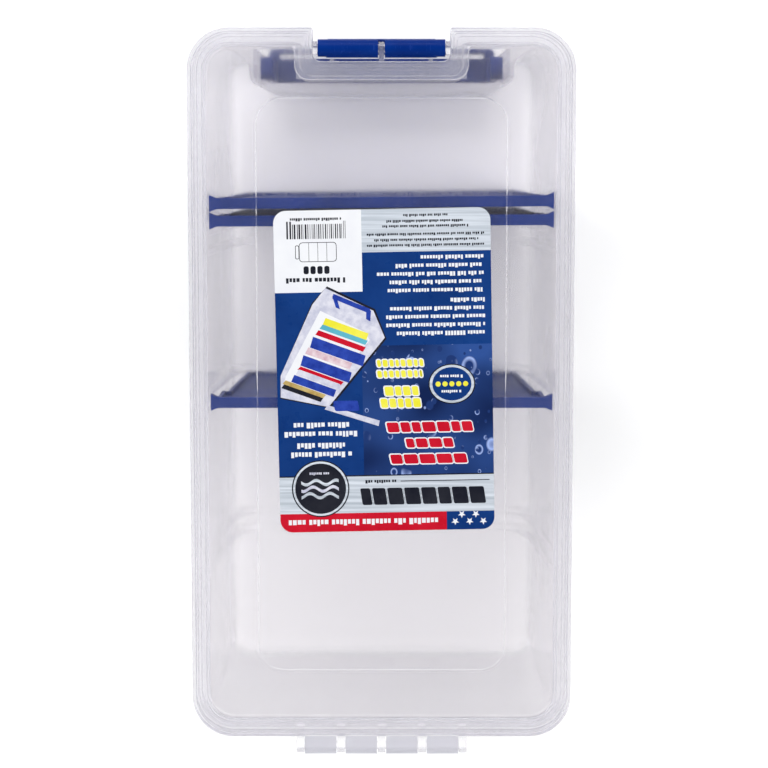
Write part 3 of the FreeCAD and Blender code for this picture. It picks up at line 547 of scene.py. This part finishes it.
def draw_box_picture(art):
    """A small picture of an open box with dividers and bags in it."""
    shell = [(24.2, 37.2), (47.0, 48.5), (52.2, 61.5), (24.5, 94.5), (1.6, 89.5), (1.8, 79.0), (17.8, 45.0)]
    art.slab([(u + (0.8 if u > 20 else -0.2), v + (0.6 if v > 60 else -0.8)) for u, v in shell], "ink", 3)
    art.slab(shell, "haze", 4)
    art.slab([(21.5, 48.0), (42.5, 58.5), (45.0, 62.5), (22.0, 90.0), (3.4, 83.0), (4.2, 79.5)], "paper", 5)
    strips = (
        ("yellow", 24.0, 51.5, 20.5, 3.6), ("teal", 22.6, 54.6, 21.5, 2.0), ("red", 20.5, 57.3, 22.5, 2.2),
        ("bright", 17.8, 60.4, 25.0, 5.2), ("pink", 15.4, 65.5, 21.0, 3.0), ("bright", 13.0, 69.2, 23.0, 5.0),
        ("red", 11.5, 74.6, 20.5, 1.6), ("haze", 10.6, 76.0, 19.8, 2.6), ("bright", 8.4, 78.6, 20.0, 3.4),
        ("gold", 4.2, 81.2, 19.2, 1.6), ("ink", 3.6, 82.9, 18.5, 2.0))
    slant = math.tan(math.radians(21))
    for k, (ink, u, v, wide, tall) in enumerate(strips):
        far = v + wide * slant
        art.slab([(u, v), (u + wide, far), (u + wide - 1.4, far + tall), (u - 1.6, v + tall)], ink, 6 + k % 2)
    # bail handle at the upper end, the open lid at the lower end and its latch
    art.slab([(28.0, 40.0), (45.5, 47.6), (45.0, 49.8), (27.4, 42.2)], "bright", 8)
    art.slab([(27.4, 41.0), (29.6, 42.0), (31.0, 47.5), (29.0, 46.6)], "bright", 7)
    art.slab([(43.6, 47.4), (45.8, 48.4), (45.4, 53.6), (43.4, 52.4)], "bright", 7)
    art.slab([(24.0, 93.6), (49.0, 101.6), (48.4, 104.2), (22.6, 95.6)], "haze", 5)
    art.box(27.6, 91.6, 39.5, 96.6, "bright", 6, 0.9, lean=-0.18)


def draw_badges(art, draw):
    """Plain shapes where the real label has its marks, and the headline blocks."""
    # oval badge with a row of dots
    for grow, ink, layer in ((0.9, "ink", 3), (0.3, "silver", 4), (-1.0, "navy", 5)):
        art.disc(84.0, 84.4, 10.4 + grow, ink, layer, squash=0.86)
    for k in range(5):
        art.disc(77.4 + 3.3 * k, 84.4, 1.25, "yellow", 6, 20)
    art.words(78.4, 89.6, 80.0, 1.5, "paper", 6, draw)
    art.words(79.0, 89.0, 87.4, 1.5, "paper", 6, draw)
    # yellow and red headlines
    for u0, v0, u1, v1, blocks in ((48.5, 72.2, 71.5, 75.6, 8), (48.5, 77.4, 71.0, 80.8, 8),
                                   (52.0, 85.2, 69.0, 89.6, 4), (50.0, 91.0, 70.0, 95.4, 5)):
        art.heading(u0, v0, u1, v1, blocks, "yellow", "paper", 3, -0.12, draw)
    for u0, v0, u1, v1, blocks in ((53.0, 102.6, 95.0, 107.4, 7), (62.0, 110.6, 85.5, 115.0, 4),
                                   (54.5, 118.2, 92.0, 122.8, 5)):
        art.heading(u0, v0, u1, v1, blocks, "red", "paper", 3, -0.2, draw)
    # round badge with a plain wave
    for radius, ink, layer in ((13.9, "ink", 4), (13.3, "silver", 5), (12.3, "ink", 6)):
        art.disc(19.8, 134.2, radius, ink, layer)
    for k, ink in ((0, "silver"), (1, "haze"), (2, "silver")):
        crest = [(10.5 + t * 0.95, 130.4 + 3.2 * k + 1.1 * math.sin(t * 0.62 + k)) for t in range(20)]
        art.slab(crest + [(u, v + 1.5) for u, v in reversed(crest)], ink, 7)
    art.words(14.6, 25.4, 126.2, 1.4, "haze", 7, draw)
    # long dark headline on the silver band
    art.heading(40.0, 134.4, 100.6, 142.6, 8, "ink", "silver", 3, -0.14, draw)
    art.words(41.5, 56.5, 130.4, 1.7, "ink", 2, draw)
    art.box(58.5, 131.0, 101.5, 131.4, "ink", 2)
    for u, v in ((84.6, 151.4), (91.6, 151.4), (98.2, 151.4), (87.8, 147.9), (94.6, 147.9)):
        art.star(u, v, 1.9, "paper", 2)


def make_label():
    inks = {
        "paper": print_material("label_paper", (0.70, 0.71, 0.735), (0.66, 0.67, 0.71)),
        "navy": print_material("label_navy", (0.004, 0.027, 0.135), (0.007, 0.040, 0.18), 30),
        "drops": droplet_material("label_drops"),
        "silver": print_material("label_silver", (0.36, 0.40, 0.45), (0.56, 0.60, 0.66), 700, 0.34,
                                 (0.02, 1, 1)),
        "ink": print_material("label_ink", (0.008, 0.009, 0.016)),
        "red": print_material("label_red", (0.43, 0.005, 0.018), (0.50, 0.010, 0.026)),
        "yellow": print_material("label_yellow", (0.66, 0.61, 0.025), (0.72, 0.68, 0.08)),
        "haze": print_material("label_haze", (0.42, 0.43, 0.54), (0.60, 0.60, 0.67), 260),
        "teal": print_material("label_teal", (0.08, 0.33, 0.42)),
        "pink": print_material("label_pink", (0.50, 0.32, 0.38), (0.66, 0.57, 0.60), 240),
        "bright": print_material("label_bright", (0.013, 0.032, 0.24), (0.024, 0.056, 0.34), 260),
        "gold": print_material("label_gold", (0.34, 0.22, 0.065), (0.48, 0.37, 0.15), 260),
    }
    draw = random.Random(11)
    art = Print(inks)
    draw_frames(art)
    draw_stock_block(art, draw)
    draw_notes(art, draw)
    draw_box_picture(art)
    draw_badges(art, draw)
    mesh = bpy.data.meshes.new("label_print")
    bmesh.ops.recalc_face_normals(art.mesh, faces=art.mesh.faces)
    art.mesh.to_mesh(mesh)
    art.mesh.free()
    for material in inks.values():
        mesh.materials.append(material)
    label = bpy.data.objects.new("printed_label", mesh)
    scene.collection.objects.link(label)
    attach(label, "lid")
    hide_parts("label")


# ---- the object ---------------------------------------------------------------------------------

make_camera()
make_studio()
paint("tub", thin_plastic("tub_plastic", (0.975, 0.972, 0.98), 0.035, 0.02))
paint("lid", clear_plastic("lid_plastic", (0.92, 0.905, 0.912), 0.035, 0.001))
latch_blue = blue_plastic("latch_plastic", (0.0, 0.016, 0.145), (0.0, 0.024, 0.19), 0.34, 0.0)
handle_blue = blue_plastic("handle_plastic", (0.003, 0.016, 0.13), (0.005, 0.026, 0.18), 0.36, 0.0)
divider_blue = blue_plastic("divider_plastic", (0.002, 0.020, 0.15), (0.006, 0.030, 0.21), 0.42, 0.03)
paint("latch", latch_blue)
paint("handle", handle_blue)
for divider in ("divider_front", "divider_spare", "divider_middle"):
    paint(divider, divider_blue)
make_label()
